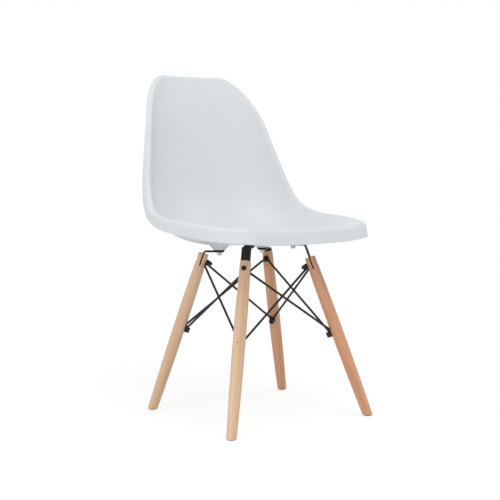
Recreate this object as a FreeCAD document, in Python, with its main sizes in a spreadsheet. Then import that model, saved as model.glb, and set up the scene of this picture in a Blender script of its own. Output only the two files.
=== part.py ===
import FreeCAD, Part
import math
import os
import Sketcher
from FreeCAD import Placement, Rotation, Vector

# A side chair: a one-piece moulded shell on four turned legs, held by bent steel brackets and
# cross-braced by eight rods. Millimetres. +Z is up, the chair faces -Y, the sitter's right is -X,
# and the origin is on the floor below the middle of the shell's outline.

doc = FreeCAD.newDocument("shell_chair")
sheet = doc.addObject("Spreadsheet::Sheet", "sizes")

# Driving sizes, by the piece that they belong to.
SIZES = {
    "shell_wall": 5.0,
    "spine_length": 775.2,
    "rim_rise": 61.0,
    "spine_angle_front": -14.8,
    "spine_angle_pan_front": -11.0,
    "spine_angle_pan_middle": -5.6,
    "spine_angle_pan_rear": 16.4,
    "spine_angle_bend": 43.7,
    "spine_angle_lumbar": 66.9,
    "spine_angle_middle_back": 78.1,
    "spine_angle_upper_back": 80.5,
    "spine_angle_top": 74.1,
    "half_width_front": 221.0,
    "half_width_seat": 217.0,
    "half_width_hip": 213.0,
    "half_width_waist": 197.0,
    "half_width_shoulder": 166.0,
    "half_width_top": 134.0,
    "edge_angle_front": 22.7,
    "edge_angle_seat": 45.2,
    "edge_angle_hip": 66.3,
    "edge_angle_waist": 71.9,
    "edge_angle_shoulder": 67.0,
    "edge_angle_top": 49.3,
    "flange_front": 39.3,
    "flange_seat": 42.1,
    "flange_hip": 41.8,
    "flange_waist": 34.3,
    "flange_shoulder": 23.1,
    "flange_top": 16.1,
    "roll_radius": 7.0,
    "front_corner_length": 184.0,
    "front_corner_inset": 80.0,
    "top_corner_length": 152.0,
    "top_corner_inset": 62.0,
    "boss_spacing_half": 62.5,
    "front_boss_y": -107.0,
    "rear_boss_y": 19.2,
    "boss_foot_diameter": 29.0,
    "boss_flare": 41.0,
    "insert_diameter": 10.0,
    "insert_length": 7.0,
    "leg_length": 397.5,
    "leg_top_diameter": 24.6,
    "leg_belly_diameter": 29.0,
    "leg_foot_diameter": 22.4,
    "leg_belly_depth": 172.0,
    "front_leg_tilt": 20.5,
    "rear_leg_tilt": 18.4,
    "front_leg_bearing": 43.0,
    "rear_leg_bearing": 36.2,
    "front_leg_reach": 40.0,
    "rear_leg_reach": 38.0,
    "slot_depth": 29.0,
    "slot_clearance": 0.2,
    "upper_bolt_depth": 18.0,
    "lower_bolt_depth": 188.0,
    "eye_seat_depth": 0.8,
    "counterbore_diameter": 12.4,
    "counterbore_depth": 6.5,
    "strap_width": 22.0,
    "strap_thickness": 3.5,
    "strap_end_gap": 2.0,
    "front_flange_rise": 31.7,
    "rear_flange_rise": 7.3,
    "flange_overhang": 11.0,
    "flange_end_radius": 8.0,
    "strap_end_radius": 4.0,
    "bend_radius": 3.0,
    "gusset_leg": 9.0,
    "gusset_width": 5.0,
    "spacer_diameter": 26.0,
    "spacer_thickness": 2.5,
    "bolt_diameter": 6.0,
    "bolt_clearance": 0.3,
    "thread_clearance": 0.05,
    "washer_diameter": 16.0,
    "washer_thickness": 1.6,
    "shell_bolt_length": 14.0,
    "shell_bolt_head_diameter": 10.0,
    "shell_bolt_head_height": 6.0,
    "socket_width": 5.0,
    "socket_depth": 3.0,
    "upper_bolt_head_diameter": 10.5,
    "upper_bolt_head_height": 4.0,
    "nut_across_flats": 10.0,
    "nut_height": 5.0,
    "nut_dome_diameter": 9.4,
    "upper_bolt_reach": 7.0,
    "lower_bolt_head_diameter": 13.5,
    "lower_bolt_head_height": 6.0,
    "leg_insert_diameter": 8.5,
    "leg_insert_length": 12.0,
    "lower_bolt_grip": 10.0,
    "pilot_diameter": 3.4,
    "rod_diameter": 5.3,
    "eye_diameter": 14.5,
    "eye_thickness": 3.0,
    "outer_bend_distance": 18.0,
    "inner_bend_distance": 10.0,
    "knuckle_diameter": 5.7,
    "glide_diameter": 18.0,
    "glide_thickness": 2.0,
    "glide_stem_diameter": 5.0,
    "glide_stem_length": 12.0,
}

for row, (alias, number) in enumerate(SIZES.items(), start=1):
    sheet.set("A%d" % row, alias)
    sheet.set("B%d" % row, str(number))
    sheet.setAlias("B%d" % row, alias)
doc.recompute()


class Size:
    """A number together with the sheet expression that it comes from."""

    def __init__(self, value, text):
        self.value = float(value)
        self.text = text

    def _join(self, other, sign, value):
        return Size(value, "(%s %s %s)" % (self.text, sign, plain(other).text))

    def __add__(self, other):
        return self._join(other, "+", self.value + plain(other).value)

    def __sub__(self, other):
        return self._join(other, "-", self.value - plain(other).value)

    def __mul__(self, other):
        return self._join(other, "*", self.value * plain(other).value)

    def __truediv__(self, other):
        return self._join(other, "/", self.value / plain(other).value)

    def __neg__(self):
        return Size(-self.value, "(-%s)" % self.text)


def plain(value):
    return value if isinstance(value, Size) else Size(value, "%.9g" % value)


def size(alias):
    return Size(sheet.get(alias), "sizes.%s" % alias)


def number(alias):
    return float(sheet.get(alias))


def sine(angle):
    return Size(math.sin(math.radians(angle.value)), "sin(%s)" % angle.text)


def cosine(angle):
    return Size(math.cos(math.radians(angle.value)), "cos(%s)" % angle.text)


def tangent(angle):
    return Size(math.tan(math.radians(angle.value)), "tan(%s)" % angle.text)


def bind(feature, **sizes):
    for name, value in sizes.items():
        feature.setExpression(name, value.text)


# The four corners where a leg is fixed: side is -1 for the sitter's right, end is -1 for the front.
CORNERS = {
    "front_right": (-1, "front"),
    "front_left": (1, "front"),
    "rear_left": (1, "rear"),
    "rear_right": (-1, "rear"),
}


def boss_centre(corner):
    side, end = CORNERS[corner]
    return Vector(side * number("boss_spacing_half"), number(end + "_boss_y"), 0)


def inward_bearing(corner):
    """Direction in plan from a leg towards the middle of the chair, in degrees."""
    side, end = CORNERS[corner]
    bearing = number(end + "_leg_bearing")
    if end == "rear":
        bearing = -bearing
    return bearing if side < 0 else 180 - bearing


def leg_top_height(end):
    lean = math.radians(number(end + "_leg_tilt"))
    return number("glide_thickness") + number("leg_length") * math.cos(lean)


def leg_top(corner):
    end = CORNERS[corner][1]
    bearing = math.radians(inward_bearing(corner))
    inward = Vector(math.cos(bearing), math.sin(bearing), 0)
    centre = boss_centre(corner) - inward * number(end + "_leg_reach")
    return Vector(centre.x, centre.y, leg_top_height(end))


def upright_frame(corner):
    """Origin at the leg's top centre, X level and inward, Z up."""
    return Placement(leg_top(corner), Rotation(Vector(0, 0, 1), inward_bearing(corner)))


def leg_frame(corner):
    """Origin at the leg's top centre, Z up along the leg, X square to it and inward."""
    lean = Rotation(Vector(0, 1, 0), number(CORNERS[corner][1] + "_leg_tilt"))
    upright = upright_frame(corner)
    return Placement(upright.Base, upright.Rotation.multiply(lean))


def flange_top_height(end):
    return leg_top_height(end) + number(end + "_flange_rise")


def boss_foot_height(end):
    return flange_top_height(end) + number("spacer_thickness")


def leg_radius(depth):
    """Radius of the turned leg at a depth below its top: it swells gently to the belly."""
    depth = plain(depth)
    belly = size("leg_belly_diameter") / 2
    belly_depth = size("leg_belly_depth")
    if depth.value < belly_depth.value:
        run = belly_depth
        drop = belly - size("leg_top_diameter") / 2
    else:
        run = turned_length() - belly_depth
        drop = belly - size("leg_foot_diameter") / 2
    away = (depth - belly_depth) / run
    return belly - drop * away * away


def turned_length():
    """Length of the leg on the lathe, before the slanted floor cut."""
    return size("leg_length") + size("leg_foot_diameter") / 2


def eye_seat(depth):
    """Distance from the leg's axis to the flat that the rod ends are clamped on."""
    return leg_radius(depth) - size("eye_seat_depth")


# Seat shell

# A carpet surface runs from the front crest to the top crest. Its middle line, the spine, is given
# by its slope angle at stations along its length, and its cross-section by the half width and by
# the angle that it has turned up at the edge. A flange rolls over from the carpet's outline and
# hangs away from the sitter's side.

SPINE_STATIONS = {
    "front": 0.0, "pan_front": 0.15, "pan_middle": 0.30, "pan_rear": 0.42, "bend": 0.50,
    "lumbar": 0.60, "middle_back": 0.75, "upper_back": 0.88, "top": 1.0,
}
RIM_STATIONS = {"front": 0.0, "seat": 0.2, "hip": 0.4, "waist": 0.6, "shoulder": 0.8, "top": 1.0}
CURL_POWER = 2.46
SPINE_STEPS = 500
SPINE_MARGIN = 0.02
ROLL_EASE = 1.5


def through(stations, prefix):
    """A smooth function of the share of the spine that passes through the sizes at the stations."""
    knots = list(stations.values())
    values = [number("%s_%s" % (prefix, name)) for name in stations]
    steps = [b - a for a, b in zip(knots, knots[1:])]
    slopes = [(b - a) / step for a, b, step in zip(values, values[1:], steps)]
    ends = [slopes[0]]
    for i in range(1, len(slopes)):
        ends.append((slopes[i - 1] * steps[i] + slopes[i] * steps[i - 1]) / (steps[i - 1] + steps[i]))
    ends.append(slopes[-1])

    def value_at(share):
        i = 0
        while i < len(steps) - 1 and share >= knots[i + 1]:
            i += 1
        f = (share - knots[i]) / steps[i]
        return ((1 + 2 * f) * (1 - f) ** 2 * values[i] + f * (1 - f) ** 2 * steps[i] * ends[i]
                + f * f * (3 - 2 * f) * values[i + 1] + f * f * (f - 1) * steps[i] * ends[i + 1])

    return value_at


spine_angle = through(SPINE_STATIONS, "spine_angle")
half_width = through(RIM_STATIONS, "half_width")
edge_angle = through(RIM_STATIONS, "edge_angle")
flange_length = through(RIM_STATIONS, "flange")


def walk_spine():
    """Points (y, z) of the spine at equal steps, its front end at the origin."""
    step = (1 + 2 * SPINE_MARGIN) / SPINE_STEPS
    y = z = 0.0
    points = []
    for i in range(SPINE_STEPS + 1):
        points.append((y, z))
        angle = math.radians(spine_angle(-SPINE_MARGIN + (i + 0.5) * step))
        y += math.cos(angle) * step * number("spine_length")
        z += math.sin(angle) * step * number("spine_length")
    return points


spine_walk = walk_spine()


def spine_raw(share):
    place = (share + SPINE_MARGIN) / (1 + 2 * SPINE_MARGIN) * SPINE_STEPS
    i = min(int(place), SPINE_STEPS - 1)
    f = place - i
    return tuple(a + (b - a) * f for a, b in zip(spine_walk[i], spine_walk[i + 1]))


def curl(angle, reach):
    """Run and rise of a curve of unit length that turns up to the angle, as far as the reach."""
    run = rise = 0.0
    term = 1.0
    for k in range(8):
        power = CURL_POWER * 2 * k
        run += (-1) ** k * term * reach ** (power + 1) / (power + 1)
        term *= angle / (2 * k + 1)
        power += CURL_POWER
        rise += (-1) ** k * term * reach ** (power + 1) / (power + 1)
        term *= angle / (2 * k + 2)
    return run, rise


def girth(share):
    """Length of half the cross-section, from the spine to the carpet's edge."""
    return half_width(share) / curl(math.radians(edge_angle(share)), 1.0)[0]


def spine_normal(share):
    angle = math.radians(spine_angle(share))
    return Vector(0, -math.sin(angle), math.cos(angle))


def carpet(share, across):
    """Point of the carpet: share of the spine, and signed share of the half girth."""
    run, rise = curl(math.radians(edge_angle(share)), abs(across))
    length = girth(share)
    y, z = spine_raw(share)
    start_y, start_z = spine_raw(0.0)
    foot = Vector(math.copysign(run * length, across), y - start_y, z - start_z)
    return foot + spine_normal(share) * (rise * length)


def carpet_axes(share, across):
    """Unit directions along the spine and across it, and the normal towards the sitter."""
    small = 0.001
    along = carpet(share + small, across) - carpet(share - small, across)
    side = carpet(share, across + small) - carpet(share, across - small)
    along.normalize()
    side = side - along * side.dot(along)
    side.normalize()
    return along, side, side.cross(along)


def outline_share(share):
    """How far out the outline runs at a station, with both ends' corners rounded."""
    length = number("spine_length")
    front, top = number("front_corner_length") / length, number("top_corner_length") / length
    inset = 0.0
    if share < front:
        sweep = 1 - math.sqrt(max(0.0, 1 - ((front - share) / front) ** 2))
        inset = number("front_corner_inset") / half_width(0.0) * sweep
    if share > 1 - top:
        sweep = 1 - math.sqrt(max(0.0, 1 - ((share - 1 + top) / top) ** 2))
        inset = number("top_corner_inset") / half_width(1.0) * sweep
    return 1 - inset


LENGTHWISE = 45
CROSSWISE = 23


def spread(index, count):
    """Shares of the spine, closer together towards both ends, where the corners are."""
    return 0.5 - 0.5 * math.cos(math.pi * index / (count - 1))


shares = [spread(i, LENGTHWISE) for i in range(LENGTHWISE)]
across_steps = [2 * j / (CROSSWISE - 1) - 1 for j in range(CROSSWISE)]


def outline_loop():
    """(share, across) once round the carpet, from the front right corner over the front edge."""
    loop = [(0.0, step * outline_share(0.0)) for step in across_steps[:-1]]
    loop += [(share, outline_share(share)) for share in shares[:-1]]
    loop += [(1.0, -step * outline_share(1.0)) for step in across_steps[:-1]]
    loop += [(share, -outline_share(share)) for share in reversed(shares[1:])]
    return loop


FLANGE_ROWS = [0.0, 0.06, 0.12, 0.18, 0.25, 0.33, 0.42, 0.52, 0.64, 0.78, 0.90, 1.0]
FLANGE_SUBSTEPS = 40
STRIP_CUTS = [0, 2, 4, 6, 9]


def flange_section(share, across, outward):
    """Points out along the flange's outer side, then back along its inner side."""
    along, side, normal = carpet_axes(share, across)
    out = along * outward[0] + side * outward[1]
    away = spine_normal(share) * -1
    turn = math.atan2(-normal.dot(away), out.dot(away)) % (2 * math.pi)
    length = flange_length(share)
    eased = ROLL_EASE * number("roll_radius") * turn
    wall = number("shell_wall")

    def angle_at(distance):
        return turn * (1 - (1 - min(1.0, distance / eased)) ** ROLL_EASE)

    def facing(distance):
        angle = angle_at(distance)
        return normal * math.cos(angle) + out * math.sin(angle)

    outer, inner = [], []
    point = carpet(share, across)
    done = 0.0
    for row in FLANGE_ROWS:
        steps = max(1, round((row - done) * FLANGE_SUBSTEPS))
        step = (row - done) * length / steps
        for i in range(steps):
            angle = angle_at(done * length + (i + 0.5) * step)
            point = point + (out * math.cos(angle) - normal * math.sin(angle)) * step
        done = row
        outer.append(point)
        inner.append(point - facing(row * length) * wall)
    return outer + list(reversed(inner))


def outline_outward(loop):
    """Outward direction (along, across) in the developed surface at each point of the loop."""
    flat = [(share * number("spine_length"), across * girth(share)) for share, across in loop]
    outward = []
    for i in range(len(flat)):
        before, after = flat[i - 1], flat[(i + 1) % len(flat)]
        along, across = after[0] - before[0], after[1] - before[1]
        length = math.hypot(along, across)
        outward.append((-across / length, along / length))
    return outward


def spline_surface(grid):
    """Smooth surface drawn by a grid of poles. Surfaces that share an outer row share that edge."""
    counts = len(grid), len(grid[0])
    knots = [[float(i) for i in range(count - 2)] for count in counts]
    repeats = [[4] + [1] * (count - 4) + [4] for count in counts]
    surface = Part.BSplineSurface()
    surface.buildFromPolesMultsKnots(grid, repeats[0], repeats[1], knots[0], knots[1],
                                     False, False, 3, 3)
    return surface


def spline_face(grid):
    return spline_surface(grid).toShape()


def flange_faces(grid):
    """Outer side and inner side in strips, and the flat edge of the wall between them."""
    count = len(FLANGE_ROWS)
    outer = [row[:count] for row in grid]
    inner = [list(reversed(row[count:])) for row in grid]
    faces = []
    for side in (outer, inner):
        whole = spline_surface(side)
        start, end = whole.bounds()[:2]
        for low, high in zip(STRIP_CUTS, STRIP_CUTS[1:]):
            strip = whole.copy()
            strip.segment(start, end, float(low), float(high))
            faces.append(strip.toShape())
    edge = [[o[-1] + (i[-1] - o[-1]) * (k / 3) for k in range(4)] for o, i in zip(outer, inner)]
    faces.append(spline_face(edge))
    return faces


def shell_grids():
    """Grids of the sitter's side, of the under side and of the four stretches of flange."""
    upper = [[carpet(s, step * outline_share(s)) for step in across_steps] for s in shares]
    wall = number("shell_wall")
    under = []
    for share, row in zip(shares, upper):
        reach = outline_share(share)
        under.append([point - carpet_axes(share, step * reach)[2] * wall
                      for point, step in zip(row, across_steps)])
    loop = outline_loop()
    sections = [flange_section(share, across, outward)
                for (share, across), outward in zip(loop, outline_outward(loop))]
    rim = ([(0, j) for j in range(CROSSWISE - 1)]
           + [(i, CROSSWISE - 1) for i in range(LENGTHWISE - 1)]
           + [(LENGTHWISE - 1, j) for j in range(CROSSWISE - 1, 0, -1)]
           + [(i, 0) for i in range(LENGTHWISE - 1, 0, -1)])
    for section, (i, j) in zip(sections, rim):
        section[0] = upper[i][j]
        section[-1] = under[i][j]
    sections.append(sections[0])
    corners = [0, CROSSWISE - 1, CROSSWISE + LENGTHWISE - 2,
               2 * CROSSWISE + LENGTHWISE - 3, 2 * (CROSSWISE + LENGTHWISE - 2)]
    flanges = [sections[a:b + 1] for a, b in zip(corners, corners[1:])]
    return upper, under, flanges


def moved(grid, shift):
    return [[point + shift for point in row] for row in grid]


upper_grid, under_grid, flange_grids = shell_grids()
all_y = [point.y for grid in [upper_grid] + flange_grids for row in grid for point in row]
shell_shift = Vector(0, -(min(all_y) + max(all_y)) / 2, boss_foot_height("rear") + number("rim_rise"))
upper_grid = moved(upper_grid, shell_shift)
under_grid = moved(under_grid, shell_shift)
flange_grids = [moved(grid, shell_shift) for grid in flange_grids]


def build_skin():
    faces = [spline_face(upper_grid), spline_face(under_grid)]
    for grid in flange_grids:
        faces += flange_faces(grid)
    shell = Part.makeShell(faces)
    shell.sewShape()
    solid = Part.makeSolid(shell)
    if solid.Volume < 0:
        solid.reverse()
    return solid


def above_pan():
    """Everything above the middle of the seat's wall, to trim the bosses inside the wall."""
    pan = [i for i, share in enumerate(shares) if share < 0.45]
    strip = range(2, CROSSWISE - 2)
    middle = [[(upper_grid[i][j] + under_grid[i][j]) * 0.5 for j in strip] for i in pan]
    return spline_face(middle).extrude(Vector(0, 0, 4 * number("boss_foot_diameter")))


skin = doc.addObject("Part::Feature", "shell_skin")
skin.Shape = build_skin()
over_pan = doc.addObject("Part::Feature", "room_above_pan")
over_pan.Shape = above_pan()


def add_bosses():
    """Four tapered bosses under the pan, each with a bore for its threaded insert."""
    bosses, bores = [], []
    flare = math.tan(math.radians(number("boss_flare")))
    for corner, (side, end) in CORNERS.items():
        base = boss_centre(corner) + Vector(0, 0, boss_foot_height(end))
        boss = doc.addObject("Part::Cone", "boss_" + corner)
        rise = size("boss_foot_diameter")
        bind(boss, Radius1=size("boss_foot_diameter") / 2, Height=rise,
             Radius2=size("boss_foot_diameter") / 2 + rise * tangent(size("boss_flare")))
        boss.Placement = Placement(base, Rotation())
        bosses.append(boss)
        bore = doc.addObject("Part::Cylinder", "insert_bore_" + corner)
        bind(bore, Radius=size("insert_diameter") / 2, Height=size("insert_length"))
        bore.Placement = Placement(base, Rotation())
        bores.append(bore)
        tip = doc.addObject("Part::Cylinder", "bolt_relief_" + corner)
        bind(tip, Radius=size("bolt_diameter") / 2 + size("bolt_clearance"),
             Height=size("insert_length") + size("bolt_clearance") * 4)
        tip.Placement = Placement(base, Rotation())
        bores.append(tip)
    return bosses, bores


def combine(kind, name, shapes):
    joined = doc.addObject(kind, name)
    joined.Shapes = shapes
    return joined


def subtract(name, base, tool):
    cut = doc.addObject("Part::Cut", name)
    cut.Base = base
    cut.Tool = tool
    return cut


bosses, bores = add_bosses()
trimmed = subtract("bosses_below_wall", combine("Part::MultiFuse", "boss_cones", bosses), over_pan)
shell_with_bosses = combine("Part::MultiFuse", "shell_with_bosses", [skin, trimmed])
seat_shell = subtract("seat_shell", shell_with_bosses, combine("Part::MultiFuse", "insert_bores", bores))

# Tools for the pieces below

PLANES = {"XY": "XY_Plane", "XZ": "XZ_Plane", "YZ": "YZ_Plane"}
ALONG_X = Rotation(Vector(0, 1, 0), 90)
UPSIDE_DOWN = Rotation(Vector(1, 0, 0), 180)
WIDE = 40.0


def new_body(name, frame):
    body = doc.addObject("PartDesign::Body", name)
    body.Placement = frame
    return body


def new_sketch(body, name, plane):
    sketch = body.newObject("Sketcher::SketchObject", name)
    origin_plane = [f for f in body.Origin.OriginFeatures if f.Role == PLANES[plane]][0]
    sketch.AttachmentSupport = [(origin_plane, "")]
    sketch.MapMode = "FlatFace"
    return sketch


def pin(sketch, geometry, point, x, y):
    """Fix a point of the sketch at bound coordinates."""
    for kind, value in (("DistanceX", x), ("DistanceY", y)):
        value = plain(value)
        index = sketch.addConstraint(Sketcher.Constraint(kind, -1, 1, geometry, point, value.value))
        if "sizes." in value.text:
            sketch.setExpression("Constraints[%d]" % index, value.text)


def polygon(sketch, points):
    corners = [Vector(plain(x).value, plain(y).value, 0) for x, y in points]
    for i, (start, end) in enumerate(zip(corners, corners[1:] + corners[:1])):
        sketch.addGeometry(Part.LineSegment(start, end))
        pin(sketch, i, 1, *points[i])
    for i in range(len(points)):
        sketch.addConstraint(Sketcher.Constraint("Coincident", i, 2, (i + 1) % len(points), 1))


def revolve(body, sketch):
    turned = body.newObject("PartDesign::Revolution", sketch.Name + "_turned")
    turned.Profile = sketch
    turned.ReferenceAxis = (sketch, ["V_Axis"])
    turned.Angle = 360
    sketch.Visibility = False
    return turned


def lathe(name, frame, profile):
    """A body turned about its Z axis from a half profile of (radius, height) points."""
    body = new_body(name, frame)
    sketch = new_sketch(body, name + "_profile", "XZ")
    polygon(sketch, profile)
    revolve(body, sketch)
    return body


def hollow(body, kind, name, base, turn=Rotation(), **sizes):
    """Cut a primitive out of the body at a bound place."""
    tool = body.newObject("PartDesign::Subtractive" + kind, name)
    tool.Placement = Placement(Vector(*[plain(value).value for value in base]), turn)
    for axis, value in zip("xyz", base):
        if "sizes." in plain(value).text:
            tool.setExpression("Placement.Base." + axis, plain(value).text)
    bind(tool, **sizes)
    return tool


def at(frame, x=0.0, y=0.0, z=0.0, turn=Rotation()):
    """A placement given in a frame, by numbers worked out from the sheet."""
    return frame.multiply(Placement(Vector(x, y, z), turn))


def group(name, pieces):
    gathered = doc.addObject("Part::Compound", name)
    gathered.Links = pieces
    return gathered


bolt_radius = size("bolt_diameter") / 2
hole_radius = bolt_radius + size("bolt_clearance")
thread_radius = bolt_radius + size("thread_clearance")


# Legs

TURNING_STEPS = 4


def leg_profile():
    """Half profile of the turned leg, from the top's centre to the foot's centre."""
    belly, length = size("leg_belly_depth"), turned_length()
    depths = [belly * (i / TURNING_STEPS) for i in range(TURNING_STEPS)]
    depths += [belly + (length - belly) * (i / TURNING_STEPS) for i in range(TURNING_STEPS + 1)]
    return [(0, 0)] + [(leg_radius(depth), -depth) for depth in depths] + [(0, -length)]


def build_leg(corner):
    """A turned leg in its own frame, with its slot, bolt holes, flats for the rods and slanted foot."""
    tilt = size(CORNERS[corner][1] + "_leg_tilt")
    lean = Rotation(Vector(0, 1, 0), -tilt.value)
    body = lathe("leg_" + corner, leg_frame(corner), leg_profile())
    slot = size("strap_thickness") + size("slot_clearance")
    hollow(body, "Box", "slot_" + corner, (-(slot / 2), -WIDE / 2, -size("slot_depth")),
           Length=slot, Width=plain(WIDE), Height=size("slot_depth") * 2)
    upper_seat, lower_seat = eye_seat(size("upper_bolt_depth")), eye_seat(size("lower_bolt_depth"))
    upper, lower = -size("upper_bolt_depth"), -size("lower_bolt_depth")
    hollow(body, "Cylinder", "upper_hole_" + corner, (-WIDE / 2, 0, upper), ALONG_X,
           Radius=hole_radius, Height=plain(WIDE))
    floor = size("counterbore_depth") - leg_radius(size("upper_bolt_depth"))
    hollow(body, "Cylinder", "counterbore_" + corner, (floor - WIDE, 0, upper), ALONG_X,
           Radius=size("counterbore_diameter") / 2, Height=plain(WIDE))
    for name, seat, height in (("upper", upper_seat, upper), ("lower", lower_seat, lower)):
        hollow(body, "Cylinder", name + "_rod_flat_" + corner, (seat, 0, height), ALONG_X,
               Radius=size("outer_bend_distance") + size("rod_diameter") / 2, Height=plain(WIDE))
    hollow(body, "Cylinder", "insert_seat_" + corner,
           (lower_seat - size("leg_insert_length") - size("bolt_clearance"), 0, lower), ALONG_X,
           Radius=size("leg_insert_diameter") / 2, Height=plain(WIDE))
    hollow(body, "Cylinder", "pilot_" + corner, (-WIDE / 2, 0, lower), ALONG_X,
           Radius=size("pilot_diameter") / 2, Height=plain(WIDE))
    width = plain(2 * WIDE)
    hollow(body, "Box", "floor_cut_" + corner,
           (width * sine(tilt) - width / 2 * cosine(tilt), -WIDE,
            -size("leg_length") - width * cosine(tilt) - width / 2 * sine(tilt)), lean,
           Length=width, Width=width, Height=width)
    stem = size("glide_stem_length") + size("bolt_clearance")
    hollow(body, "Cylinder", "glide_hole_" + corner, (0, 0, -size("leg_length")), lean,
           Radius=size("glide_stem_diameter") / 2, Height=stem)
    return body


# Brackets

def edge_names(shape, test):
    return ["Edge%d" % (i + 1) for i, edge in enumerate(shape.Edges) if test(edge)]


def runs_along(edge, direction):
    if len(edge.Vertexes) < 2:
        return False
    span = edge.Vertexes[1].Point - edge.Vertexes[0].Point
    return abs(span.normalize().dot(direction)) > 0.999 and edge.Curve.TypeId == "Part::GeomLine"


def round_edges(body, name, test, radius):
    doc.recompute()
    before = body.Tip
    names = edge_names(before.Shape, test)
    fillet = body.newObject("PartDesign::Fillet", name)
    fillet.Base = (before, names)
    bind(fillet, Radius=radius)
    return fillet


def build_bracket(corner):
    """Bent steel strap: one end stands in the leg's slot, the other is screwed under the seat."""
    end = CORNERS[corner][1]
    tilt = size(end + "_leg_tilt")
    rise, thick = size(end + "_flange_rise"), size("strap_thickness")
    reach = size(end + "_leg_reach")
    half = thick / 2
    tip = reach + size("flange_overhang")
    sunk = size("slot_depth") - size("strap_end_gap")
    under = rise - thick
    body = new_body("bracket_" + corner, upright_frame(corner))
    sketch = new_sketch(body, "bracket_profile_" + corner, "XZ")
    polygon(sketch, [
        ((rise * sine(tilt) - half) / cosine(tilt), rise),
        (tip, rise),
        (tip, under),
        ((under * sine(tilt) + half) / cosine(tilt), under),
        (half * cosine(tilt) - sunk * sine(tilt), -(sunk * cosine(tilt)) - half * sine(tilt)),
        (-(sunk * sine(tilt)) - half * cosine(tilt), half * sine(tilt) - sunk * cosine(tilt)),
    ])
    plate = body.newObject("PartDesign::Pad", "bracket_plate_" + corner)
    plate.Profile = sketch
    plate.Midplane = True
    bind(plate, Length=size("strap_width"))
    sketch.Visibility = False
    across = Vector(0, 1, 0)
    down = Vector(-math.sin(math.radians(tilt.value)), 0, -math.cos(math.radians(tilt.value)))
    inner_bend = Vector(sketch.Geometry[3].StartPoint.x, 0, under.value)
    outer_bend = Vector(sketch.Geometry[0].StartPoint.x, 0, rise.value)

    def near(edge, place):
        centre = edge.CenterOfMass
        return math.hypot(centre.x - place.x, centre.z - place.z) < 0.5

    round_edges(body, "inner_bend_" + corner,
                lambda edge: runs_along(edge, across) and near(edge, inner_bend), size("bend_radius"))
    round_edges(body, "outer_bend_" + corner,
                lambda edge: runs_along(edge, across) and near(edge, outer_bend),
                size("bend_radius") + thick)
    round_edges(body, "flange_end_" + corner,
                lambda edge: runs_along(edge, Vector(0, 0, 1)) and edge.CenterOfMass.x > tip.value - 1,
                size("flange_end_radius"))
    normal = Vector(math.cos(math.radians(tilt.value)), 0, -math.sin(math.radians(tilt.value)))
    round_edges(body, "strap_end_" + corner,
                lambda edge: runs_along(edge, normal) and edge.CenterOfMass.dot(down) > sunk.value - 1,
                size("strap_end_radius"))
    hollow(body, "Cylinder", "flange_hole_" + corner, (reach, 0, -WIDE), Rotation(),
           Radius=hole_radius, Height=plain(3 * WIDE))
    depth = size("upper_bolt_depth")
    hollow(body, "Cylinder", "strap_hole_" + corner,
           (-(depth * sine(tilt)) - cosine(tilt) * (WIDE / 2), 0, sine(tilt) * (WIDE / 2) - depth * cosine(tilt)),
           Rotation(Vector(0, 1, 0), 90 + tilt.value), Radius=hole_radius, Height=plain(WIDE))
    return body


# Bolts, nuts, washers, inserts, spacers and glides

def build_spacer(corner, frame):
    radius, height = size("spacer_diameter") / 2, size("spacer_thickness")
    return lathe("spacer_" + corner, frame, [(hole_radius, 0), (radius, 0), (radius, height), (hole_radius, height)])


def build_washer(corner, frame):
    radius, height = size("washer_diameter") / 2, size("washer_thickness")
    return lathe("washer_" + corner, frame, [(hole_radius, 0), (radius, 0), (radius, height), (hole_radius, height)])


def build_insert(name, corner, frame, radius, length):
    return lathe(name + corner, frame, [(thread_radius, 0), (radius, 0), (radius, length), (thread_radius, length)])


def build_bolt(name, corner, frame, head_radius, head_height, length):
    """Head below the origin, shank up to the length, hexagon socket in the head."""
    body = lathe(name + corner, frame, [(0, -head_height), (head_radius, -head_height), (head_radius, 0),
                                        (bolt_radius, 0), (bolt_radius, length), (0, length)])
    hollow(body, "Prism", name + "socket_" + corner, (0, 0, -head_height - size("socket_depth")), Rotation(),
           Circumradius=size("socket_width") / math.sqrt(3), Height=size("socket_depth") * 2)
    return body


def build_cap_nut(corner, frame):
    """Hexagon with a domed cap and a blind threaded bore from the origin."""
    height = size("nut_height")
    hexagon = doc.addObject("Part::Prism", "nut_hexagon_" + corner)
    bind(hexagon, Circumradius=size("nut_across_flats") / math.sqrt(3), Height=height)
    hexagon.Placement = frame
    dome = doc.addObject("Part::Sphere", "nut_dome_" + corner)
    dome.Angle1 = 0
    bind(dome, Radius=size("nut_dome_diameter") / 2)
    dome.Placement = at(frame, z=height.value)
    bore = doc.addObject("Part::Cylinder", "nut_bore_" + corner)
    bind(bore, Radius=thread_radius, Height=size("upper_bolt_reach") + size("bolt_clearance"))
    bore.Placement = frame
    return subtract("cap_nut_" + corner, combine("Part::MultiFuse", "nut_blank_" + corner, [hexagon, dome]), bore)


def build_glide(corner):
    """Plastic foot: a disc on the floor with a stem that is pressed into the leg's end."""
    end = CORNERS[corner][1]
    length, lean = number("leg_length"), math.radians(number(end + "_leg_tilt"))
    foot = at(upright_frame(corner), x=-length * math.sin(lean), z=-length * math.cos(lean))
    disc, thick = size("glide_diameter") / 2, size("glide_thickness")
    stem = size("glide_stem_diameter") / 2
    return lathe("foot_glide_" + corner, at(foot, z=-thick.value), [
        (0, 0), (disc, 0), (disc, thick), (stem, thick), (stem, thick + size("glide_stem_length")),
        (0, thick + size("glide_stem_length"))])


# Rods

def eye_centre(corner, bolt, level):
    """Middle of a rod's flattened end, the level-th in the stack on the leg's flat."""
    depth = number(bolt + "_bolt_depth")
    out = eye_seat(depth).value + (level + 0.5) * number("eye_thickness")
    return leg_frame(corner).multVec(Vector(out, 0, -depth))


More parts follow.
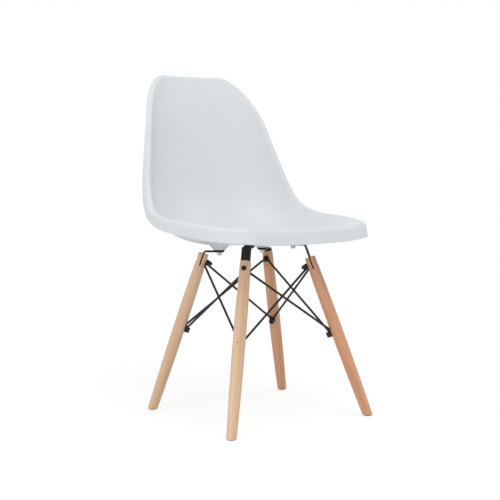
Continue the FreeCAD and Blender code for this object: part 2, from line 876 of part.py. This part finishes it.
def rod_end(corner, bolt, level, towards):
    """Flattened end of a rod with its bolt hole, and the point where the round rod begins."""
    thick, radius, rod = number("eye_thickness"), number("eye_diameter") / 2, number("rod_diameter") / 2
    centre = eye_centre(corner, bolt, level)
    normal = leg_frame(corner).Rotation.multVec(Vector(1, 0, 0))
    course = towards - centre
    course = (course - normal * course.dot(normal)).normalize()
    across = normal.cross(course)
    reach = number("outer_bend_distance" if level == 0 else "inner_bend_distance")
    low = centre - normal * (thick / 2)
    knuckle = number("knuckle_diameter") / 2
    bend = low + course * reach + normal * (knuckle + number("thread_clearance"))
    eye = Part.makeCylinder(radius, thick, low, normal)
    corners = [low + across * rod, low - across * rod, low - across * rod + course * reach,
               low + across * rod + course * reach]
    neck = Part.Face(Part.makePolygon(corners + corners[:1])).extrude(normal * thick)
    tip = Part.makeCylinder(rod, thick, low + course * reach, normal)
    hole = Part.makeCylinder(hole_radius.value, 3 * thick, centre - normal * (1.5 * thick), normal)
    return [eye, neck, tip, Part.makeSphere(knuckle, bend)], hole, bend


def build_rod(name, start, finish, level):
    """A round rod from the upper bolt of one leg to the lower bolt of another."""
    upper = eye_centre(start, "upper", level)
    lower = eye_centre(finish, "lower", level)
    upper_end, upper_hole, upper_bend = rod_end(start, "upper", level, lower)
    lower_end, lower_hole, lower_bend = rod_end(finish, "lower", level, upper)
    span = lower_bend - upper_bend
    bar = Part.makeCylinder(number("rod_diameter") / 2, span.Length, upper_bend, span)
    feature = doc.addObject("Part::Feature", name)
    feature.Shape = bar.fuse(upper_end + lower_end).cut([upper_hole, lower_hole])
    return feature, (upper_bend, lower_bend)


nodes = {"seat_shell": seat_shell}
lists = {name: [] for name in ("boss_inserts", "shell_bolts", "shell_bolt_washers", "upper_leg_bolts",
                               "cap_nuts", "lower_leg_bolts", "leg_inserts")}
for corner, (side, end) in CORNERS.items():
    nodes["leg_" + corner] = build_leg(corner)
    nodes["bracket_" + corner] = build_bracket(corner)
    below_boss = Placement(boss_centre(corner) + Vector(0, 0, boss_foot_height(end)), Rotation())
    gap = number("spacer_thickness")
    nodes["spacer_" + corner] = build_spacer(corner, at(below_boss, z=-gap))
    lists["boss_inserts"].append(build_insert("boss_insert_", corner, below_boss, size("insert_diameter") / 2,
                                              size("insert_length")))
    under_flange = at(below_boss, z=-gap - number("strap_thickness"))
    washer = at(under_flange, z=-number("washer_thickness"))
    lists["shell_bolt_washers"].append(build_washer(corner, washer))
    lists["shell_bolts"].append(build_bolt(
        "shell_bolt_", corner, washer, size("shell_bolt_head_diameter") / 2, size("shell_bolt_head_height"),
        size("shell_bolt_length")))
    frame = leg_frame(corner)
    upper_depth, lower_depth = number("upper_bolt_depth"), number("lower_bolt_depth")
    stack = 2 * number("eye_thickness")
    head_floor = number("counterbore_depth") - leg_radius(upper_depth).value
    nut_face = eye_seat(upper_depth).value + stack
    upper_seat = eye_seat(size("upper_bolt_depth"))
    lists["upper_leg_bolts"].append(build_bolt(
        "upper_leg_bolt_", corner, at(frame, head_floor, 0, -upper_depth, ALONG_X),
        size("upper_bolt_head_diameter") / 2, size("upper_bolt_head_height"),
        upper_seat + leg_radius(size("upper_bolt_depth")) - size("counterbore_depth")
        + size("eye_thickness") * 2 + size("upper_bolt_reach")))
    lists["cap_nuts"].append(build_cap_nut(corner, at(frame, nut_face, 0, -upper_depth, ALONG_X)))
    lower_seat = eye_seat(lower_depth).value
    insert_start = lower_seat - number("leg_insert_length")
    lists["leg_inserts"].append(build_insert(
        "leg_insert_", corner, at(frame, insert_start, 0, -lower_depth, ALONG_X),
        size("leg_insert_diameter") / 2, size("leg_insert_length")))
    outward = Rotation(Vector(0, 1, 0), -90)
    lists["lower_leg_bolts"].append(build_bolt(
        "lower_leg_bolt_", corner, at(frame, lower_seat + stack, 0, -lower_depth, outward),
        size("lower_bolt_head_diameter") / 2, size("lower_bolt_head_height"),
        size("eye_thickness") * 2 + size("lower_bolt_grip")))
    nodes["foot_glide_" + corner] = build_glide(corner)

around = list(CORNERS)
rod_axes = {}
for i, start in enumerate(around):
    following, previous = around[(i + 1) % 4], around[i - 1]
    for level, finish in ((0, following), (1, previous)):
        name = "brace_rod_%s_to_%s" % (start, finish)
        nodes[name], rod_axes[name] = build_rod(name, start, finish, level)

for name, pieces in lists.items():
    nodes[name] = group(name, pieces)

doc.recompute()

faults = [o.Name for o in doc.Objects if "Invalid" in o.State or "Error" in o.State]
for name, node in nodes.items():
    shape = node.Shape
    if shape.isNull() or not shape.isValid() or not shape.Solids:
        faults.append(name)
if faults:
    raise RuntimeError("These pieces didn't build: " + ", ".join(faults))

os.makedirs("parts", exist_ok=True)
for name, node in nodes.items():
    node.Label = name
    node.Shape.exportStep("parts/%s.step" % name)
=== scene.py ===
import bpy
import math
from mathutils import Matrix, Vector


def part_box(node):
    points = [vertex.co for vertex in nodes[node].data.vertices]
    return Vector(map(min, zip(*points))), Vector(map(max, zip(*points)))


# A white shell chair on beech legs, photographed in a bright studio from a little above the
# seat's height, from the sitter's front right.

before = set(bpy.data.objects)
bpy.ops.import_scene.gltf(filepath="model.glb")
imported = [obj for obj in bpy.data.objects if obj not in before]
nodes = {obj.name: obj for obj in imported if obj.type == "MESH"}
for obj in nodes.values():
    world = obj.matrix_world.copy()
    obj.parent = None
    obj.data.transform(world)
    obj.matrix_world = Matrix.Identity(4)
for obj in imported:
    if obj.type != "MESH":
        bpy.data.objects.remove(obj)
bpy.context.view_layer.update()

# Where each leg stands and leans: tilt from upright and bearing of its inward side, in degrees.
LEG_STANCE = {
    "leg_front_right": (20.5, 43.0),
    "leg_front_left": (20.5, 137.0),
    "leg_rear_left": (18.4, -143.8),
    "leg_rear_right": (18.4, -36.2),
}

# Finishes, as linear colours.
SHELL_TINT = (0.690, 0.722, 0.742)
SHELL_SHADE = (0.662, 0.694, 0.714)
STEEL_BLACK = (0.008, 0.008, 0.009)
STEEL_RUBBED = (0.015, 0.015, 0.016)
ZINC = (0.560, 0.570, 0.580)
BRASS = (0.700, 0.520, 0.240)
METAL_DULLING = 0.8

# Two legs get pale wood colours, and leg_front_left and leg_rear_left get darker, redder ones.
PALE_BEECH = {
    "light": (0.800, 0.560, 0.375),
    "dark": (0.640, 0.410, 0.245),
    "fleck": (0.400, 0.230, 0.120),
}
REDDER_LEG_TONES = {
    "light": (0.740, 0.405, 0.235),
    "dark": (0.580, 0.280, 0.145),
    "fleck": (0.350, 0.145, 0.065),
}
LEG_WOOD = {
    "leg_front_right": PALE_BEECH,
    "leg_front_left": REDDER_LEG_TONES,
    "leg_rear_left": REDDER_LEG_TONES,
    "leg_rear_right": PALE_BEECH,
}
# How far the wood's pattern is drawn out along the leg: a smaller share is a longer grain.
GRAIN_DRAW = 0.045
FLECK_DRAW = 0.10

# Camera: degrees round the chair and above it, and metres.
CAMERA_AZIMUTH = -34.5
CAMERA_ELEVATION = 5.15
CAMERA_DISTANCE = 2.60
AIM_ACROSS = -0.02185
AIM_UP = 0.38877
AIM_BACK = -0.0573
# The lens and the width of its sensor, in millimetres.
CAMERA_LENS = 78.0
CAMERA_SENSOR = 36.0

# The rays that see the white backdrop and floor, so that metal reflects them too.
BACKDROP_RAYS = ("Is Camera Ray", "Is Glossy Ray", "Is Transmission Ray")
WHITE = (1.0, 1.0, 1.0)
BACKDROP_STRENGTH = 1.0
ROOM_STRENGTH = 0.76
# The floor as it lights the chair, and as it is seen: part lit surface, part glow.
FLOOR_SIZE = 40.0
FLOOR_PALE = (0.80, 0.80, 0.80)
FLOOR_SEEN = (0.30, 0.30, 0.30)
FLOOR_GLOW = 0.74
FLOOR_SHADOW_REACH = 0.9
FLOOR_WHITE_REACH = 2.0

# Each lamp's place, what it looks at, its width in metres and its power in watts.
LAMPS = {
    "key": ((0.1, -1.3, 3.0), (0, 0, 0.5), 2.4, 24.0),
    "fill": ((-2.3, -0.6, 1.1), (0, 0, 0.4), 2.0, 12.0),
}


def highest(tree, node, names):
    """The greatest of a node's named outputs."""
    result = node.outputs[names[0]]
    for name in names[1:]:
        greater = tree.nodes.new("ShaderNodeMath")
        greater.operation = "MAXIMUM"
        tree.links.new(result, greater.inputs[0])
        tree.links.new(node.outputs[name], greater.inputs[1])
        result = greater.outputs[0]
    return result


class Shader:
    """A material's node tree, with short calls for the nodes that the finishes use."""

    def __init__(self, name):
        self.material = bpy.data.materials.new(name)
        self.material.use_nodes = True
        self.tree = self.material.node_tree
        self.tree.nodes.clear()
        self.output = self.add("ShaderNodeOutputMaterial")

    def add(self, kind, **inputs):
        node = self.tree.nodes.new(kind)
        for name, value in inputs.items():
            self.plug(node, name, value)
        return node

    def plug(self, node, name, value):
        socket = node.inputs[name.replace("_", " ")]
        if isinstance(value, bpy.types.NodeSocket):
            self.tree.links.new(value, socket)
        elif isinstance(value, tuple) and len(value) == 3 and socket.type == "RGBA":
            socket.default_value = value + (1.0,)
        else:
            socket.default_value = value

    def place(self, location=(0, 0, 0), rotation=(0, 0, 0), scale=(1, 1, 1)):
        """Coordinates in metres from the given place, turned with it and then scaled."""
        where = self.add("ShaderNodeTexCoord").outputs["Object"]
        local = self.add("ShaderNodeMapping", Vector=where)
        local.vector_type = "TEXTURE"
        local.inputs["Location"].default_value = location
        local.inputs["Rotation"].default_value = rotation
        return self.add("ShaderNodeMapping", Vector=local.outputs[0], Scale=scale).outputs[0]

    def noise(self, where, scale, detail=2.0, roughness=0.5, distortion=0.0):
        node = self.add("ShaderNodeTexNoise", Vector=where, Scale=scale, Detail=detail,
                        Roughness=roughness, Distortion=distortion)
        return node.outputs["Fac"]

    def ramp(self, value, low, high, start=0.0, end=1.0):
        """Value from start to end as the input goes from low to high."""
        node = self.add("ShaderNodeMapRange", Value=value)
        node.inputs["From Min"].default_value = low
        node.inputs["From Max"].default_value = high
        node.inputs["To Min"].default_value = start
        node.inputs["To Max"].default_value = end
        return node.outputs["Result"]

    def blend(self, factor, first, second):
        node = self.tree.nodes.new("ShaderNodeMix")
        node.data_type = "RGBA"
        for socket, value in ((node.inputs[0], factor), (node.inputs[6], first), (node.inputs[7], second)):
            if isinstance(value, bpy.types.NodeSocket):
                self.tree.links.new(value, socket)
            else:
                socket.default_value = value + (1.0,) if isinstance(value, tuple) else value
        return node.outputs[2]

    def bump(self, height, strength, distance):
        return self.add("ShaderNodeBump", Height=height, Strength=strength, Distance=distance).outputs[0]

    def finish(self, **inputs):
        surface = self.add("ShaderNodeBsdfPrincipled", **inputs)
        self.tree.links.new(surface.outputs[0], self.output.inputs["Surface"])
        return self.material


def moulded_shell():
    """Satin polypropylene with a fine texture and hardly visible flow marks."""
    s = Shader("moulded_shell")
    where = s.place()
    flow = s.ramp(s.noise(where, scale=7.0, detail=3.0), low=0.3, high=0.7)
    sheen = s.noise(where, scale=30.0)
    grain = s.noise(where, scale=2600.0)
    return s.finish(
        Base_Color=s.blend(flow, SHELL_SHADE, SHELL_TINT),
        Roughness=s.ramp(sheen, low=0.3, high=0.7, start=0.42, end=0.52),
        Specular_IOR_Level=0.42,
        Normal=s.bump(grain, strength=0.12, distance=0.0002),
    )


def turned_beech(name):
    """Lacquered beech with its grain along the leg and short darker flecks."""
    tilt, bearing = LEG_STANCE[name]
    # The pale set of colours, or the darker and redder set, given to this leg.
    leg_tones = LEG_WOOD[name]
    low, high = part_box(name)
    s = Shader("beech_" + name)
    turn = (0.0, math.radians(tilt), math.radians(bearing))
    middle = tuple((low + high) / 2)
    along = s.place(middle, turn, (1.0, 1.0, GRAIN_DRAW))
    across = s.place(middle, turn, (1.0, 1.0, FLECK_DRAW))
    bands = s.noise(along, scale=90.0, detail=4.0, roughness=0.55, distortion=0.4)
    tone = s.ramp(bands, low=0.32, high=0.68)
    streak = s.ramp(s.noise(along, scale=420.0, detail=3.0, roughness=0.6), low=0.35, high=0.75)
    fleck = s.ramp(s.noise(across, scale=1500.0, detail=1.0), low=0.63, high=0.72)
    wood = s.blend(tone, leg_tones["dark"], leg_tones["light"])
    wood = s.blend(s.ramp(streak, low=0.0, high=1.0, end=0.35), wood, leg_tones["dark"])
    wood = s.blend(s.ramp(fleck, low=0.0, high=1.0, end=0.45), wood, leg_tones["fleck"])
    return s.finish(
        Base_Color=wood,
        Roughness=s.ramp(tone, low=0.0, high=1.0, start=0.48, end=0.38),
        Specular_IOR_Level=0.45,
        Normal=s.bump(streak, strength=0.10, distance=0.0003),
    )


def black_finish(name, roughness, grain, depth):
    """Satin black coat with a fine orange peel."""
    s = Shader(name)
    where = s.place()
    gloss = s.noise(where, scale=120.0)
    return s.finish(
        Base_Color=s.blend(s.noise(where, scale=60.0), STEEL_BLACK, STEEL_RUBBED),
        Roughness=s.ramp(gloss, low=0.3, high=0.7, start=roughness - 0.05, end=roughness + 0.06),
        Specular_IOR_Level=0.30,
        Normal=s.bump(s.noise(where, grain), strength=0.2, distance=depth),
    )


def bare_metal(name, colour, roughness):
    """Plated or machined metal with faint turning marks."""
    s = Shader(name)
    where = s.place(scale=(1.0, 1.0, 6.0))
    dulled = tuple(METAL_DULLING * channel for channel in colour)
    marks = s.noise(where, scale=900.0)
    return s.finish(
        Base_Color=s.blend(s.noise(where, scale=400.0), colour, dulled),
        Metallic=1.0,
        Roughness=s.ramp(marks, low=0.3, high=0.7, start=roughness - 0.06, end=roughness + 0.08),
        Normal=s.bump(s.noise(where, scale=3000.0), strength=0.15, distance=0.0001),
    )


def wear(name, material):
    for slot in nodes[name].material_slots:
        slot.material = material


oxide = black_finish("black_oxide", roughness=0.36, grain=3000.0, depth=0.0001)
nylon = black_finish("black_nylon", roughness=0.60, grain=2200.0, depth=0.0002)
zinc = bare_metal("zinc_plate", ZINC, roughness=0.34)
brass = bare_metal("turned_brass", BRASS, roughness=0.30)
# The finish of every node whose name starts so; the longest start that fits wins.
FINISHES = {
    "seat_shell": moulded_shell(),
    "bracket": black_finish("powder_coat", roughness=0.46, grain=1800.0, depth=0.0002),
    "brace_rod": black_finish("rod_coat", roughness=0.42, grain=2400.0, depth=0.0001),
    "spacer": nylon,
    "foot_glide": nylon,
    "boss_inserts": brass,
    "leg_inserts": brass,
    "shell_bolts": zinc,
    "shell_bolt_washers": zinc,
    "upper_leg_bolts": oxide,
    "cap_nuts": oxide,
    "lower_leg_bolts": oxide,
}
for name in nodes:
    if name in LEG_STANCE:
        wear(name, turned_beech(name))
        continue
    kind = max((key for key in FINISHES if name.startswith(key)), key=len)
    wear(name, FINISHES[kind])


def join(tree, kind, first, second):
    """A node that mixes or adds two shaders, wired after its factor where it has one."""
    node = tree.nodes.new(kind)
    shaders = [socket for socket in node.inputs if socket.type == "SHADER"]
    tree.links.new(first.outputs[0], shaders[0])
    tree.links.new(second.outputs[0], shaders[1])
    return node


def lay_floor():
    """Pale floor that keeps the chair's shadow and turns white before the horizon."""
    bpy.ops.mesh.primitive_plane_add(size=FLOOR_SIZE, location=(0, 0, 0))
    floor = bpy.context.object
    floor.name = "floor"
    s = Shader("floor")
    pale = s.add("ShaderNodeBsdfDiffuse", Color=FLOOR_PALE)
    lit = s.add("ShaderNodeBsdfDiffuse", Color=FLOOR_SEEN)
    glow = s.add("ShaderNodeEmission", Color=WHITE, Strength=FLOOR_GLOW)
    white = s.add("ShaderNodeEmission", Color=WHITE, Strength=BACKDROP_STRENGTH)
    reach = s.add("ShaderNodeVectorMath", Vector=s.place())
    reach.operation = "LENGTH"
    far = s.ramp(reach.outputs["Value"], FLOOR_SHADOW_REACH, FLOOR_WHITE_REACH)
    seamless = join(s.tree, "ShaderNodeMixShader", join(s.tree, "ShaderNodeAddShader", lit, glow), white)
    s.tree.links.new(far, seamless.inputs["Fac"])
    floor_shader = join(s.tree, "ShaderNodeMixShader", pale, seamless)
    rays = highest(s.tree, s.add("ShaderNodeLightPath"), BACKDROP_RAYS)
    s.tree.links.new(rays, floor_shader.inputs["Fac"])
    s.tree.links.new(floor_shader.outputs[0], s.output.inputs["Surface"])
    floor.data.materials.append(s.material)


def backdrop(tree, strength):
    node = tree.nodes.new("ShaderNodeBackground")
    node.inputs["Color"].default_value = WHITE + (1.0,)
    node.inputs["Strength"].default_value = strength
    return node


def light_room():
    """Soft light from all round, and plain white where the backdrop is seen or reflected."""
    world = bpy.data.worlds.new("studio")
    bpy.context.scene.world = world
    world.use_nodes = True
    tree = world.node_tree
    tree.nodes.clear()
    output = tree.nodes.new("ShaderNodeOutputWorld")
    soft, white = backdrop(tree, ROOM_STRENGTH), backdrop(tree, BACKDROP_STRENGTH)
    mix = join(tree, "ShaderNodeMixShader", soft, white)
    rays = highest(tree, tree.nodes.new("ShaderNodeLightPath"), BACKDROP_RAYS)
    tree.links.new(rays, mix.inputs["Fac"])
    tree.links.new(mix.outputs[0], output.inputs["Surface"])


def add_lamp(name, place, aim, size, power):
    light = bpy.data.lights.new(name, "AREA")
    light.shape = "DISK"
    light.size = size
    light.energy = power
    lamp = bpy.data.objects.new(name, light)
    lamp.location = place
    lamp.rotation_euler = (Vector(aim) - Vector(place)).to_track_quat("-Z", "Y").to_euler()
    bpy.context.scene.collection.objects.link(lamp)


def photograph_camera():
    azimuth, elevation = math.radians(CAMERA_AZIMUTH), math.radians(CAMERA_ELEVATION)
    back = Vector((math.sin(azimuth) * math.cos(elevation), -math.cos(azimuth) * math.cos(elevation),
                   math.sin(elevation)))
    right = Vector((math.cos(azimuth), math.sin(azimuth), 0.0))
    up = back.cross(right)
    target = right * AIM_ACROSS + up * AIM_UP + Vector((0.0, AIM_BACK, 0.0))
    data = bpy.data.cameras.new("photograph")
    data.lens = CAMERA_LENS
    data.sensor_width = CAMERA_SENSOR
    camera = bpy.data.objects.new("photograph", data)
    camera.location = target + back * CAMERA_DISTANCE
    camera.rotation_euler = back.to_track_quat("Z", "Y").to_euler()
    bpy.context.scene.collection.objects.link(camera)
    bpy.context.scene.camera = camera


lay_floor()
light_room()
for name, (place, aim, size, power) in LAMPS.items():
    add_lamp(name, place, aim, size, power)
photograph_camera()
bpy.context.scene.view_settings.view_transform = "Standard"
